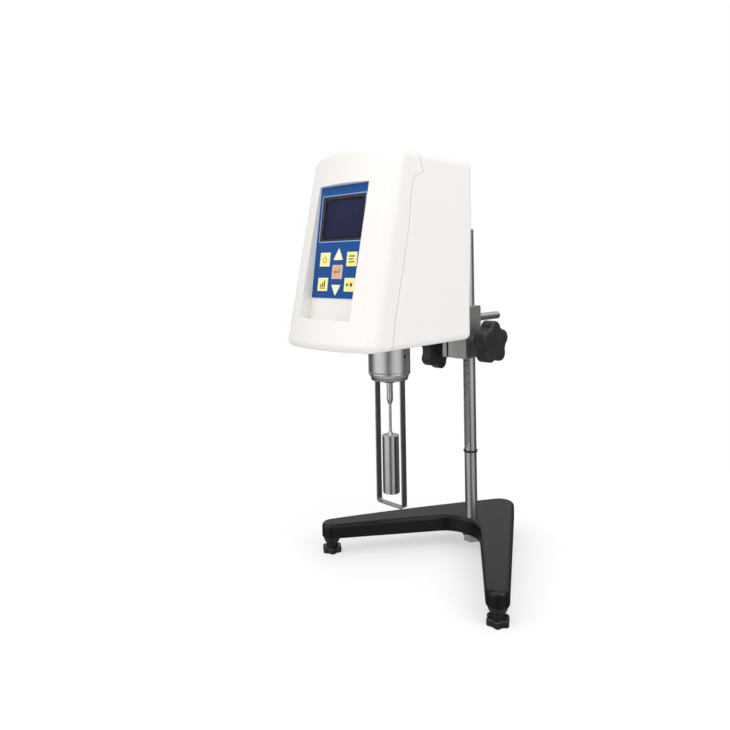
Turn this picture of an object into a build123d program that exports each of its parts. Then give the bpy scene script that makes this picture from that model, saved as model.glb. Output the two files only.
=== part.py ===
from build123d import *
import math
import os

# Rotational viscometer: measuring head on a rack-and-pinion stand.
# Frame: +Z up, the front of the instrument faces -Y, +X is to the right seen
# from the front. Origin: centre of the bounding box at the level of the foot
# bottoms, in the plane of the upright post (x = 0). Millimetres.

os.makedirs("parts", exist_ok=True)

# ------------------------------------------------------------ driving sizes
# stand
POST_Y = 70.0            # post axis
POST_R = 7.5
POST_TOP = 396.0
SLOT_W = 7.0             # rack slot in the front of the post
SLOT_D = 4.0
SLOT_Z0 = 130.0
RING_Z = 119.8           # stop ring on the post
BASE_TOP = 39.0
BASE_UNDER = 19.0
BASE_TIP_TOP = 36.0
FOOT_X = 121.0           # front levelling feet
FOOT_Y = -55.0
REAR_FOOT_Y = 141.0
BOSS_Z = 12.0            # underside of the foot bosses
FOOT_H = 7.0             # star knob of a foot
FOOT_R = 12.3
# rack and pinion, module 1
MODULE = 1.0
TEETH = 12
PITCH_R = MODULE * TEETH / 2
RACK_PITCH_Y = 64.1
PINION_Y = RACK_PITCH_Y - PITCH_R
PINION_Z = 244.0
# clamp block
BX0, BX1 = -25.0, 11.0
BY0, BY1 = 48.5, 81.0
BZ0, BZ1 = 238.0, 301.5
CLAMP_Z = 258.0          # axis of the height clamp screw
ROD_R = 5.0
ROD_Z = 283.1
# measuring axis
SX, SY = -17.0, -57.0
BOB_R = 9.42
BOB_Z0, BOB_Z1 = 98.0, 163.1
SHAFT_R = 1.59
# head
HEAD_HW = 65.5
HEAD_Z0 = 268.5
HEAD_Z1 = 475.1          # crown height on the centre line before its slope
LEAN = 0.234             # lean of the front face, mm per mm of height
WALL = 2.6
COLLAR_R = 23.5
COLLAR_Z0 = 225.6
GUARD_X = 19.0           # guard legs, either side of the axis
GUARD_Z0 = 83.5
GUARD_T = 1.5
GUARD_W = 7.5
# operating panel: a plane set back in the front shell, tilted back 8.6 degrees
PANEL = Plane(origin=(SX, SY - 80.7, 320.2), x_dir=(1, 0, 0), z_dir=(0, -0.9887, 0.1498))
PANEL_HW = 37.0
PANEL_V1 = 119.6
PANEL_T = 0.8
# rear face above z = 300 leans back with the rear shell
REAR_LEAN = 0.055


def rear_plane(dx, z):
    y = SY + 70.5 + REAR_LEAN * (z - 300.0)
    return Plane(origin=(SX + dx, y, z), x_dir=(-1, 0, 0), z_dir=(0, 1, -REAR_LEAN))


# ------------------------------------------------------------ base and feet
OUT_K, IN_K = 0.605, 0.775       # slopes of the outer and inner edges of the arms
OUT_ANG, IN_ANG = math.atan(OUT_K), math.atan(IN_K)
APEX_R, NOTCH_R, TIP_R = 17.0, 39.0, 12.0
out_apex_y = POST_Y + 98.0
in_apex_y = POST_Y + 13.8
apex_c = out_apex_y - APEX_R / math.sin(OUT_ANG)
notch_c = in_apex_y - NOTCH_R / math.sin(IN_ANG)


def arm_outline(sx):
    """One side of the V, from the rear apex to the notch, for sx = +1 or -1."""
    a0 = (sx * APEX_R * math.cos(OUT_ANG), apex_c + APEX_R * math.sin(OUT_ANG))
    tip_o = (sx * (FOOT_X + TIP_R * math.cos(OUT_ANG)), FOOT_Y + TIP_R * math.sin(OUT_ANG))
    tip_e = (sx * (FOOT_X + TIP_R * math.sin((OUT_ANG - IN_ANG) / 2)), FOOT_Y - TIP_R)
    tip_i = (sx * (FOOT_X - TIP_R * math.cos(IN_ANG)), FOOT_Y - TIP_R * math.sin(IN_ANG))
    n0 = (sx * NOTCH_R * math.cos(IN_ANG), notch_c + NOTCH_R * math.sin(IN_ANG))
    return a0, tip_o, tip_e, tip_i, n0


with BuildPart() as base_casting:
    with BuildSketch(Plane.XY.offset(BASE_UNDER)):
        with BuildLine():
            ra, rto, rte, rti, rn = arm_outline(1)
            la, lto, lte, lti, ln = arm_outline(-1)
            ThreePointArc(la, (0, apex_c + APEX_R), ra)
            Line(ra, rto)
            ThreePointArc(rto, rte, rti)
            Line(rti, rn)
            ThreePointArc(rn, (0, notch_c + NOTCH_R), ln)
            Line(ln, lti)
            ThreePointArc(lti, lte, lto)
            Line(lto, la)
        make_face()
    extrude(amount=BASE_TOP + 5 - BASE_UNDER)
    # the top is one long shallow arch, highest near the post
    with BuildSketch(Plane.YZ.offset(-200)):
        with BuildLine():
            ThreePointArc((180, BASE_TOP - 0.9), (POST_Y, BASE_TOP), (FOOT_Y - 20, BASE_TIP_TOP - 0.4))
            Polyline((FOOT_Y - 20, BASE_TIP_TOP - 0.4), (FOOT_Y - 20, BASE_UNDER - 2), (180, BASE_UNDER - 2), (180, BASE_TOP - 0.9))
        make_face()
    extrude(amount=400, mode=Mode.INTERSECT)
    fillet(faces().sort_by(Axis.Z)[-1].edges(), 4.5)
    fillet(edges().filter_by(lambda e: abs(e.bounding_box().max.Z - BASE_UNDER) < 0.01), 1.5)
    # hollow underside, ribs left at the post and at the feet
    with BuildSketch(Plane.XY.offset(BASE_UNDER)) as under:
        with BuildLine():
            ThreePointArc(la, (0, apex_c + APEX_R), ra)
            Line(ra, rto)
            ThreePointArc(rto, rte, rti)
            Line(rti, rn)
            ThreePointArc(rn, (0, notch_c + NOTCH_R), ln)
            Line(ln, lti)
            ThreePointArc(lti, lte, lto)
            Line(lto, la)
        make_face()
        offset(amount=-6.0)
        with Locations((0, POST_Y)):
            Circle(15.5, mode=Mode.SUBTRACT)
        with Locations((FOOT_X, FOOT_Y), (-FOOT_X, FOOT_Y), (0, REAR_FOOT_Y)):
            Circle(11.5, mode=Mode.SUBTRACT)
    extrude(amount=8.0, mode=Mode.SUBTRACT)
    # foot bosses, tapered, with rounded ends
    for fx, fy in ((FOOT_X, FOOT_Y), (-FOOT_X, FOOT_Y), (0, REAR_FOOT_Y)):
        with BuildSketch(Plane(origin=(fx, fy, 0), x_dir=(1, 0, 0), z_dir=(0, -1, 0))):
            with BuildLine():
                Polyline((0, BOSS_Z), (7.6, BOSS_Z), (8.6, BOSS_Z + 0.8), (11.2, BASE_UNDER + 0.5), (11.2, BASE_UNDER + 4), (0, BASE_UNDER + 4), (0, BOSS_Z))
            make_face()
        revolve(axis=Axis((fx, fy, 0), (0, 0, 1)))
    # tapped bores for the feet, stepped bore for the post
    with BuildSketch(Plane.XY.offset(BOSS_Z - 1)):
        with Locations((FOOT_X, FOOT_Y), (-FOOT_X, FOOT_Y), (0, REAR_FOOT_Y)):
            Circle(4.35)
    extrude(amount=19.5, mode=Mode.SUBTRACT)
    with BuildSketch(Plane.XY.offset(BASE_UNDER - 1)):
        with Locations((0, POST_Y)):
            Circle(6.15)
    extrude(amount=30, mode=Mode.SUBTRACT)
    with BuildSketch(Plane.XY.offset(BASE_UNDER + 5)):
        with Locations((0, POST_Y)):
            Circle(POST_R + 0.05)
    extrude(amount=30, mode=Mode.SUBTRACT)
base_casting.part.label = "base_casting"
export_step(base_casting.part, "parts/base_casting.step")


def star_outline(core_r, lobe_r, lobe_c, n, start, blend):
    """Star-knob outline: a core circle with n round lobes, valleys blended."""
    Circle(core_r)
    with PolarLocations(lobe_c, n, start_angle=start):
        Circle(lobe_r)
    vs = [v for v in vertices() if abs(math.hypot(v.X, v.Y)) > 1e-6]
    fillet(vs, blend)


def levelling_foot(cx, cy, start):
    with BuildPart() as k:
        with BuildSketch(Plane(origin=(cx, cy, 0), x_dir=(1, 0, 0), z_dir=(0, 0, 1))):
            with BuildLine():
                pts = []
                n = 6
                rv, rl = FOOT_R - 2.3, FOOT_R
                for i in range(n * 16):
                    a = 2 * math.pi * i / (n * 16)
                    r = (rv + rl) / 2 + (rl - rv) / 2 * math.cos(n * a)
                    aa = a + math.radians(start)
                    pts.append((r * math.cos(aa), r * math.sin(aa)))
                Spline(*pts, periodic=True)
            make_face()
        extrude(amount=FOOT_H)
        fillet(edges().group_by(Axis.Z)[-1], 1.6)
        fillet(edges().group_by(Axis.Z)[0], 0.8)
        with BuildSketch(Plane.XY.offset(FOOT_H - 0.5)):
            with Locations((cx, cy)):
                Circle(7.05)
        extrude(amount=BOSS_Z - 0.3 - FOOT_H + 0.5)
        # threaded stud
        with BuildSketch(Plane.XY.offset(FOOT_H)):
            with Locations((cx, cy)):
                Circle(4.0)
        extrude(amount=22.0)
        chamfer(edges().group_by(Axis.Z)[-1], 0.8)
    return k.part


with BuildPart() as levelling_foot_left:
    add(levelling_foot(-FOOT_X, FOOT_Y, -98))
levelling_foot_left.part.label = "levelling_foot_left"
export_step(levelling_foot_left.part, "parts/levelling_foot_left.step")

with BuildPart() as levelling_foot_right:
    add(levelling_foot(FOOT_X, FOOT_Y, 60))
levelling_foot_right.part.label = "levelling_foot_right"
export_step(levelling_foot_right.part, "parts/levelling_foot_right.step")

with BuildPart() as levelling_foot_rear:
    add(levelling_foot(0, REAR_FOOT_Y, 20))
levelling_foot_rear.part.label = "levelling_foot_rear"
export_step(levelling_foot_rear.part, "parts/levelling_foot_rear.step")

# ------------------------------------------------------------ post and rack
with BuildPart() as upright_post:
    with BuildSketch(Plane.XY.offset(BASE_UNDER + 5)):
        with Locations((0, POST_Y)):
            Circle(POST_R)
    extrude(amount=POST_TOP - BASE_UNDER - 5)
    chamfer(edges().group_by(Axis.Z)[-1], 1.2)
    with BuildSketch(Plane.XY.offset(8.8)):
        with Locations((0, POST_Y)):
            Circle(6.0)
    extrude(amount=BASE_UNDER + 5 - 8.8)
    chamfer(edges().group_by(Axis.Z)[0], 0.8)
    # slot for the rack, rounded at its lower end, open at the top
    with BuildSketch(Plane.XZ.offset(-(POST_Y - POST_R - 2))):
        with Locations((0, (SLOT_Z0 + POST_TOP + 10) / 2)):
            Rectangle(SLOT_W, POST_TOP + 10 - SLOT_Z0)
        with Locations((0, SLOT_Z0)):
            Circle(SLOT_W / 2)
    extrude(amount=-(SLOT_D + 2), mode=Mode.SUBTRACT)
upright_post.part.label = "upright_post"
export_step(upright_post.part, "parts/upright_post.step")

RACK_Z0, RACK_Z1 = SLOT_Z0 + 1.0, POST_TOP - 2.0
with BuildPart() as post_rack:
    tip_y = RACK_PITCH_Y - 0.8 * MODULE
    root_y = RACK_PITCH_Y + 1.25 * MODULE
    ht = 0.30 * MODULE           # half tooth at the tip
    hr = 1.02 * MODULE           # half tooth at the root
    with BuildSketch(Plane.YZ.offset(-3.4)):
        with BuildLine():
            pts = [(POST_Y - POST_R + SLOT_D, RACK_Z0), (root_y, RACK_Z0)]
            k = math.ceil((RACK_Z0 + hr + 0.3 - PINION_Z) / (math.pi * MODULE) - 0.5)
            while True:
                zc = PINION_Z + (k + 0.5) * math.pi * MODULE
                if zc + hr > RACK_Z1 - 0.3:
                    break
                pts += [(root_y, zc - hr), (tip_y, zc - ht), (tip_y, zc + ht), (root_y, zc + hr)]
                k += 1
            pts += [(root_y, RACK_Z1), (POST_Y - POST_R + SLOT_D, RACK_Z1)]
            Polyline(*pts, close=True)
        make_face()
    extrude(amount=6.8)
post_rack.part.label = "post_rack"
export_step(post_rack.part, "parts/post_rack.step")

with BuildPart() as post_stop_ring:
    with BuildSketch(Plane.XY.offset(RING_Z)):
        with Locations((0, POST_Y)):
            Circle(8.7)
            Circle(POST_R + 0.03, mode=Mode.SUBTRACT)
    extrude(amount=2.6)
    fillet(edges().filter_by(lambda e: e.length > 2 * math.pi * 8.5), 0.6)
post_stop_ring.part.label = "post_stop_ring"
export_step(post_stop_ring.part, "parts/post_stop_ring.step")

with BuildPart() as post_nut:
    with BuildSketch(Plane.XY.offset(9.6)):
        with Locations((0, POST_Y)):
            RegularPolygon(9.0, 6, major_radius=False)
    extrude(amount=BASE_UNDER - 9.6)
    with BuildSketch(Plane.XY.offset(BASE_UNDER - 2.0)):
        with Locations((0, POST_Y)):
            Circle(11.5)
    extrude(amount=2.0)
    chamfer(edges().group_by(Axis.Z)[0], 0.5)
    with BuildSketch(Plane.XY.offset(5)):
        with Locations((0, POST_Y)):
            Circle(6.03)
    extrude(amount=20, mode=Mode.SUBTRACT)
post_nut.part.label = "post_nut"
export_step(post_nut.part, "parts/post_nut.step")

# ------------------------------------------------------------ clamp block
with BuildPart() as clamp_block:
    with BuildSketch(Plane.XY.offset(BZ0)):
        with Locations(((BX0 + BX1) / 2, (BY0 + BY1) / 2)):
            Rectangle(BX1 - BX0, BY1 - BY0)
    extrude(amount=BZ1 - BZ0)
    chamfer(edges().filter_by(Axis.Z), 0.7)
    chamfer(edges().group_by(Axis.Z)[-1], 0.5)
    chamfer(edges().group_by(Axis.Z)[0], 0.5)
    # bore for the post
    with BuildSketch(Plane.XY.offset(BZ0 - 1)):
        with Locations((0, POST_Y)):
            Circle(POST_R + 0.3)
    extrude(amount=BZ1 - BZ0 + 2, mode=Mode.SUBTRACT)
    # bore for the mounting rod and the slit below it
    with BuildSketch(Plane.XZ.offset(-(BY0 - 1))):
        with Locations((SX, ROD_Z)):
            Circle(ROD_R + 0.04)
        with Locations((SX, (ROD_Z + BZ0 - 2) / 2)):
            Rectangle(2.8, ROD_Z - BZ0 + 2)
    extrude(amount=-(BY1 - BY0 + 2), mode=Mode.SUBTRACT)
    # pocket for the pinion, opening into the post bore
    with BuildSketch(Plane.YZ.offset(-3.7)):
        with Locations((PINION_Y, PINION_Z)):
            Circle(7.5)
        with Locations((PINION_Y + 5, PINION_Z)):
            Rectangle(10, 15)
    extrude(amount=7.4, mode=Mode.SUBTRACT)
    # shaft bore: jaw clearance, bush seats
    with BuildSketch(Plane.YZ.offset(BX0 - 1)):
        with Locations((PINION_Y, PINION_Z)):
            Circle(3.5)
    extrude(amount=9, mode=Mode.SUBTRACT)
    with BuildSketch(Plane.YZ.offset(-15.6)):
        with Locations((PINION_Y, PINION_Z)):
            Circle(4.5)
    extrude(amount=25.6, mode=Mode.SUBTRACT)
    # seat of the clamp bush in the right wall
    with BuildSketch(Plane.YZ.offset(5)):
        with Locations((POST_Y, CLAMP_Z)):
            Circle(4.6)
    extrude(amount=7, mode=Mode.SUBTRACT)
    # rod clamp screw: clearance in the jaw, thread in the body
    with BuildSketch(Plane.YZ.offset(BX0 - 1)):
        with Locations((POST_Y + 4, 265.0)):
            Circle(2.5)
    extrude(amount=17.5, mode=Mode.SUBTRACT)
clamp_block.part.label = "clamp_block"
export_step(clamp_block.part, "parts/clamp_block.step")

with BuildPart() as rod_clamp_screw:
    with BuildSketch(Plane.YZ.offset(BX0)):
        with Locations((POST_Y + 4, 265.0)):
            Circle(2.47)
    extrude(amount=16.0)
    with BuildSketch(Plane.YZ.offset(BX0 - 5.0)):
        with Locations((POST_Y + 4, 265.0)):
            Circle(4.25)
    extrude(amount=5.0)
    chamfer(edges().group_by(Axis.X)[0], 0.5)
    with BuildSketch(Plane.YZ.offset(BX0 - 5.0)):
        with Locations((POST_Y + 4, 265.0)):
            RegularPolygon(2.0, 6, major_radius=False)
    extrude(amount=2.6, mode=Mode.SUBTRACT)
rod_clamp_screw.part.label = "rod_clamp_screw"
export_step(rod_clamp_screw.part, "parts/rod_clamp_screw.step")

with BuildPart() as pinion_bushes:
    for x0, ln_b in ((-15.5, 11.5), (4.0, 5.6)):
        with BuildSketch(Plane.YZ.offset(x0)):
            with Locations((PINION_Y, PINION_Z)):
                Circle(4.47)
                Circle(3.12, mode=Mode.SUBTRACT)
        extrude(amount=ln_b)
pinion_bushes.part.label = "pinion_bushes"
export_step(pinion_bushes.part, "parts/pinion_bushes.step")


def inv(a):
    return math.tan(a) - a


with BuildPart() as pinion_shaft:
    base_r = PITCH_R * math.cos(math.radians(20))
    half = 0.098
    with BuildSketch(Plane.YZ.offset(-3.0)):
        with BuildLine():
            pts = []
            root_r, tip_r = PITCH_R - 1.25, PITCH_R + 0.8
            for i in range(TEETH):
                a0 = 2 * math.pi * i / TEETH
                side = []
                for r in (base_r, base_r + 0.25, PITCH_R, PITCH_R + 0.4, tip_r):
                    ha = half + inv(math.radians(20)) - inv(math.acos(min(1.0, base_r / r)))
                    side.append((r, ha))
                side = [(root_r, side[0][1] + 0.005)] + side
                for r, ha in side:
                    pts.append((PINION_Y + r * math.cos(a0 - ha), PINION_Z + r * math.sin(a0 - ha)))
                for r, ha in reversed(side):
                    pts.append((PINION_Y + r * math.cos(a0 + ha), PINION_Z + r * math.sin(a0 + ha)))
            Polyline(*pts, close=True)
        make_face()
    extrude(amount=6.0)
    with BuildSketch(Plane.YZ.offset(-47.4)):
        with Locations((PINION_Y, PINION_Z)):
            Circle(3.0)
    extrude(amount=56.4)
    chamfer(edges().group_by(Axis.X)[-1], 0.5)
pinion_shaft.part.label = "pinion_shaft"
export_step(pinion_shaft.part, "parts/pinion_shaft.step")


def star_knob(plane, core_r, lobe_r, lobe_c, start, thick, bore, hub_r, hub_len):
    """Five-lobed hand knob. The plane lies on its inner face, z outwards."""
    with BuildPart() as k:
        with BuildSketch(plane):
            Circle(core_r)
            with PolarLocations(lobe_c, 5, start_angle=start):
                Circle(lobe_r)
        extrude(amount=thick)
        out_face = faces().sort_by(Axis(plane.origin, plane.z_dir))[-1]
        side = [e for e in edges() if abs(e.length - thick) < 0.01]
        fillet(side, 6.0)
        top = faces().sort_by(Axis(plane.origin, plane.z_dir))[-1].edges()
        fillet(top, 3.2)
        bot = faces().sort_by(Axis(plane.origin, plane.z_dir))[0].edges()
        fillet(bot, 1.4)
        with BuildSketch(plane):
            Circle(hub_r)
        extrude(amount=-hub_len)
        with BuildSketch(plane.offset(-hub_len)):
            Circle(bore)
        extrude(amount=thick + hub_len - 3.0, mode=Mode.SUBTRACT)
    return k.part


LK_X = -36.5
with BuildPart() as lift_knob:
    add(star_knob(Plane(origin=(LK_X, PINION_Y, PINION_Z), x_dir=(0, 1, 0), z_dir=(-1, 0, 0)),
                  19.2, 8.9, 15.4, 0, 14.0, 3.0, 8.0, 4.5))
lift_knob.part.label = "lift_knob"
export_step(lift_knob.part, "parts/lift_knob.step")

RK_X = 24.0
with BuildPart() as clamp_knob:
    add(star_knob(Plane(origin=(RK_X, POST_Y, CLAMP_Z), x_dir=(0, 1, 0), z_dir=(1, 0, 0)),
                  20.6, 9.8, 16.4, 90, 17.0, 4.0, 7.5, 0.8))
clamp_knob.part.label = "clamp_knob"
export_step(clamp_knob.part, "parts/clamp_knob.step")

with BuildPart() as clamp_bush:
    with BuildSketch(Plane.YZ.offset(8.6)):
        with Locations((POST_Y, CLAMP_Z)):
            Circle(4.55)
    extrude(amount=2.4)
    with BuildSketch(Plane.YZ.offset(BX1)):
        with Locations((POST_Y, CLAMP_Z)):
            Circle(6.5)
    extrude(amount=11.0)
    chamfer(edges().group_by(Axis.X)[-1], 0.6)
    with BuildSketch(Plane.YZ.offset(8.0)):
        with Locations((POST_Y, CLAMP_Z)):
            Circle(4.2)
    extrude(amount=20.0, mode=Mode.SUBTRACT)
clamp_bush.part.label = "clamp_bush"
export_step(clamp_bush.part, "parts/clamp_bush.step")

with BuildPart() as pressure_pad:
    with BuildSketch(Plane.YZ.offset(POST_R + 0.6)):
        with Locations((POST_Y, CLAMP_Z)):
            Circle(3.8)
    extrude(amount=4.0)
    chamfer(edges().group_by(Axis.X)[0], 0.4)
pressure_pad.part.label = "pressure_pad"
export_step(pressure_pad.part, "parts/pressure_pad.step")

with BuildPart() as clamp_screw:
    with BuildSketch(Plane.YZ.offset(POST_R + 4.7)):
        with Locations((POST_Y, CLAMP_Z)):
            Circle(4.0)
    extrude(amount=RK_X + 14.0 - 3.0 - (POST_R + 4.7))
    chamfer(edges().group_by(Axis.X)[0], 0.6)
clamp_screw.part.label = "clamp_screw"
export_step(clamp_screw.part, "parts/clamp_screw.step")


# ------------------------------------------------------------ head shells
def head_form(inset):
    """The head's outer form, or the same form moved inwards by inset."""
    with BuildPart() as h:
        z0, height = 255.0, 240.0
        yf = SY - 69.0 + LEAN * (z0 - 439.0) + inset * 1.03
        hw = HEAD_HW - inset
        # bowed front, leaning back, with rounded corners
        with BuildSketch(Plane.XY.offset(z0)):
            with BuildLine():
                ThreePointArc((SX - hw, yf + 13), (SX, yf), (SX + hw, yf + 13))
                Polyline((SX + hw, yf + 13), (SX + hw, yf + 330), (SX - hw, yf + 330), (SX - hw, yf + 13))
            make_face()
            fillet(vertices().group_by(Axis.Y)[0], 17 - inset)
        extrude(amount=height * (1 + LEAN ** 2) ** 0.5, dir=(0, LEAN, 1))
        # side view: flat bottom, rear wall upright at the rod, then leaning back
        with BuildSketch(Plane.YZ.offset(SX - 100)):
            with BuildLine():
                Polyline((SY - 140, HEAD_Z0 + inset), (SY + 70.5 - inset, HEAD_Z0 + inset),
                         (SY + 70.5 - inset, 300), (SY + 76 - inset, 400), (SY + 76 - inset, 500),
                         (SY - 140, 500), (SY - 140, HEAD_Z0 + inset))
            make_face()
        extrude(amount=200, mode=Mode.INTERSECT)
        # front view: crowned top, falling slightly to the rear
        with BuildSketch(Plane.XZ.offset(-(SY + 130))):
            with BuildLine():
                zs = HEAD_Z1 - 8.6 - inset
                zt = HEAD_Z1 - inset
                ThreePointArc((SX - hw - 2, zs), (SX, zt), (SX + hw + 2, zs))
                Polyline((SX + hw + 2, zs), (SX + hw + 2, 240), (SX - hw - 2, 240), (SX - hw - 2, zs))
            make_face()
        extrude(amount=260, dir=(0, -1, 0.022), mode=Mode.INTERSECT)
        rear = [e for e in edges() if e.center().Y > SY + 60 and abs(abs(e.center().X - SX) - hw) < 0.6
                and e.center().Z < 462]
        fillet(rear, 12 - inset)
        top = faces().filter_by(lambda f: f.center().Z > 462).edges()
        fillet(top, 11 - inset)
        bottom = edges().filter_by(lambda e: abs(e.center().Z - (HEAD_Z0 + inset)) < 0.05)
        fillet(bottom, 7 - inset)
    return h.part


form_out = head_form(0.0)
form_in = head_form(WALL)
form_in_rear = head_form(WALL - 0.2)
form_tongue = head_form(WALL + 1.4)

# joint line between the shells, seen from the side, with its step near the top
PART_LINE = [(-66.5, 262.0), (-66.0, 268.0), (-60.2, 301.3), (-51.0, 337.0), (-37.6, 393.0), (-34.6, 419.6),
             (-31.6, 436.0), (-27.0, 443.8), (-13.5, 449.0), (-22.8, 470.6), (-27.5, 482.0), (-28.0, 490.0)]


def side_region(front, shift, back=0.0):
    """Region in front of (or behind) the joint line, as a wide prism."""
    line = [(SY + y + shift, z) for y, z in PART_LINE]
    with BuildPart() as r:
        with BuildSketch(Plane.YZ.offset(SX - 100)):
            with BuildLine():
                if back:
                    far = [(y - back, z) for y, z in reversed(line)]
                    Polyline(*(line + far), close=True)
                elif front:
                    Polyline(*(line + [(SY - 200, 490.0), (SY - 200, 262.0)]), close=True)
                else:
                    Polyline(*(line + [(SY + 200, 490.0), (SY + 200, 262.0)]), close=True)
            make_face()
        extrude(amount=200)
    return r.part


OPEN_X, OPEN_Y0, OPEN_Y1 = 50.0, -80.0, 56.0     # opening in the underside of the shells
KEYS = {  # panel coordinates of each key: centre u, v, width, height
    "key_top_left": (-20.4, 40.7, 15.0, 14.8),
    "key_top_right": (20.4, 40.7, 15.0, 14.8),
    "key_bottom_left": (-20.6, 14.3, 15.0, 14.0),
    "key_bottom_right": (20.0, 14.3, 15.0, 14.0),
    "key_centre": (0.0, 27.5, 15.6, 14.8),
}
UP_TRI = [(-7.0, 40.0), (7.0, 40.0), (0.0, 52.4)]
DOWN_TRI = [(-6.8, 14.0), (6.8, 14.0), (0.0, 2.6)]
DISP_U, DISP_V0, DISP_V1 = 32.6, 60.2, 108.6

with BuildPart() as front_shell:
    add(form_out)
    add(form_in, mode=Mode.SUBTRACT)
    # pan behind the window: walls and floor of the recess
    with BuildSketch(PANEL.offset(-3.0)):
        with Locations((0, (PANEL_V1 - 24.0) / 2)):
            RectangleRounded(2 * PANEL_HW + 6.6, PANEL_V1 + 24.0 + 4.6, 4.0)
    extrude(amount=26.0)
    add(form_out, mode=Mode.INTERSECT)
    add(side_region(True, 0.0), mode=Mode.INTERSECT)
    # the window itself, down to the floor of the recess
    with BuildSketch(PANEL.offset(-PANEL_T)):
        with BuildLine():
            Polyline((-38.2, -23.2), (38.2, -23.2), (PANEL_HW + 0.1, PANEL_V1 + 0.1), (-PANEL_HW - 0.1, PANEL_V1 + 0.1), close=True)
        make_face()
        fillet(vertices(), 1.6)
    extrude(amount=60.0, mode=Mode.SUBTRACT)
    # floor openings behind the display and the keys
    with BuildSketch(PANEL.offset(-6.0)):
        with Locations((0, (DISP_V0 + DISP_V1) / 2)):
            Rectangle(2 * DISP_U - 4.2, DISP_V1 - DISP_V0 - 4.2)
        with Locations((0, 27.5)):
            Rectangle(58.0, 52.5)
    extrude(amount=8.0, mode=Mode.SUBTRACT)
    # opening in the underside
    with BuildSketch(Plane.XY.offset(260)):
        with Locations((SX, SY + (OPEN_Y0 + OPEN_Y1) / 2)):
            RectangleRounded(2 * OPEN_X, OPEN_Y1 - OPEN_Y0, 9.0)
    extrude(amount=12.0, mode=Mode.SUBTRACT)
    # tongue that backs the joint line
    with BuildPart(mode=Mode.PRIVATE) as tongue:
        add(form_in)
        add(form_tongue, mode=Mode.SUBTRACT)
        add(side_region(True, 3.6, 8.0), mode=Mode.INTERSECT)
        with BuildSketch(Plane.XY.offset(260)):
            with Locations((SX, SY)):
                Rectangle(300, 300)
        extrude(amount=16.0, mode=Mode.SUBTRACT)
    add(tongue.part)
front_shell.part.label = "front_shell"
export_step(front_shell.part, "parts/front_shell.step")

with BuildPart() as rear_shell:
    add(form_out)
    add(form_in_rear, mode=Mode.SUBTRACT)
    add(side_region(False, 0.45), mode=Mode.INTERSECT)
    with BuildSketch(Plane.XY.offset(260)):
        with Locations((SX, SY + (OPEN_Y0 + OPEN_Y1) / 2)):
            RectangleRounded(2 * OPEN_X, OPEN_Y1 - OPEN_Y0, 9.0)
    extrude(amount=12.0, mode=Mode.SUBTRACT)
    # rear wall: rod hole, inlet and switch cut-outs, ventilation slots
    with BuildSketch(Plane.XZ.offset(-(SY + 60))):
        with Locations((SX, ROD_Z)):
            Circle(ROD_R + 0.5)
    extrude(amount=-20, mode=Mode.SUBTRACT)
    with BuildSketch(rear_plane(26.0, 330.0).offset(-8)):
        Rectangle(27.6, 20.0)
    extrude(amount=20, mode=Mode.SUBTRACT)
    with BuildSketch(rear_plane(-26.0, 330.0).offset(-8)):
        Rectangle(19.4, 13.2)
    extrude(amount=20, mode=Mode.SUBTRACT)
    with BuildSketch(rear_plane(0.0, 385.0).offset(-8)):
        with GridLocations(0, 7.0, 1, 6):
            SlotOverall(60.0, 2.6)
    extrude(amount=20, mode=Mode.SUBTRACT)
rear_shell.part.label = "rear_shell"
export_step(rear_shell.part, "parts/rear_shell.step")

ROD_END = -form_out.bounding_box().min.Y - 4.6        # the rod ends nearly as far back as the head reaches forward

with BuildPart() as mounting_rod:
    with BuildSketch(Plane.XZ.offset(-(SY + 47.0))):
        with Locations((SX, ROD_Z)):
            Circle(ROD_R)
    extrude(amount=-(ROD_END - SY - 47.0))
    chamfer(edges().group_by(Axis.Y)[-1], 1.4)
mounting_rod.part.label = "mounting_rod"
export_step(mounting_rod.part, "parts/mounting_rod.step")

with BuildPart() as rod_flange:
    with BuildSketch(Plane.XZ.offset(-(SY + 70.5))):
        with Locations((SX, ROD_Z)):
            Circle(13.0)
            Circle(ROD_R + 0.04, mode=Mode.SUBTRACT)
    extrude(amount=-4.0)
    chamfer(edges().group_by(Axis.Y)[-1].filter_by(lambda e: e.length > 60), 0.8)
rod_flange.part.label = "rod_flange"
export_step(rod_flange.part, "parts/rod_flange.step")

# ------------------------------------------------------------ operating panel
with BuildPart() as keypad_panel:
    with BuildSketch(PANEL.offset(-PANEL_T)):
        with Locations((0, PANEL_V1 / 2)):
            RectangleRounded(2 * PANEL_HW - 0.4, PANEL_V1 - 0.2, 1.8)
        with Locations((0, (DISP_V0 + DISP_V1) / 2)):
            Rectangle(2 * DISP_U, DISP_V1 - DISP_V0, mode=Mode.SUBTRACT)
        for u, v, w, h in KEYS.values():
            with Locations((u, v)):
                Rectangle(w + 0.5, h + 0.5, mode=Mode.SUBTRACT)
    extrude(amount=PANEL_T - 0.05)
    for tri in (UP_TRI, DOWN_TRI):
        cy = sum(p[1] for p in tri) / 3
        with BuildSketch(PANEL.offset(-PANEL_T - 1)):
            with BuildLine():
                Polyline(*[(p[0] * 1.08, cy + (p[1] - cy) * 1.08) for p in tri], close=True)
            make_face()
        extrude(amount=4, mode=Mode.SUBTRACT)
keypad_panel.part.label = "keypad_panel"
export_step(keypad_panel.part, "parts/keypad_panel.step")


def rect_key(u, v, w, h):
    with BuildPart() as k:
        with BuildSketch(PANEL.offset(-2.4)):
            with Locations((u, v)):
                RectangleRounded(w, h, 0.7)
        extrude(amount=3.0)
        fillet(faces().sort_by(Axis(PANEL.origin, PANEL.z_dir))[-1].edges(), 0.3)
    return k.part


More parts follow.
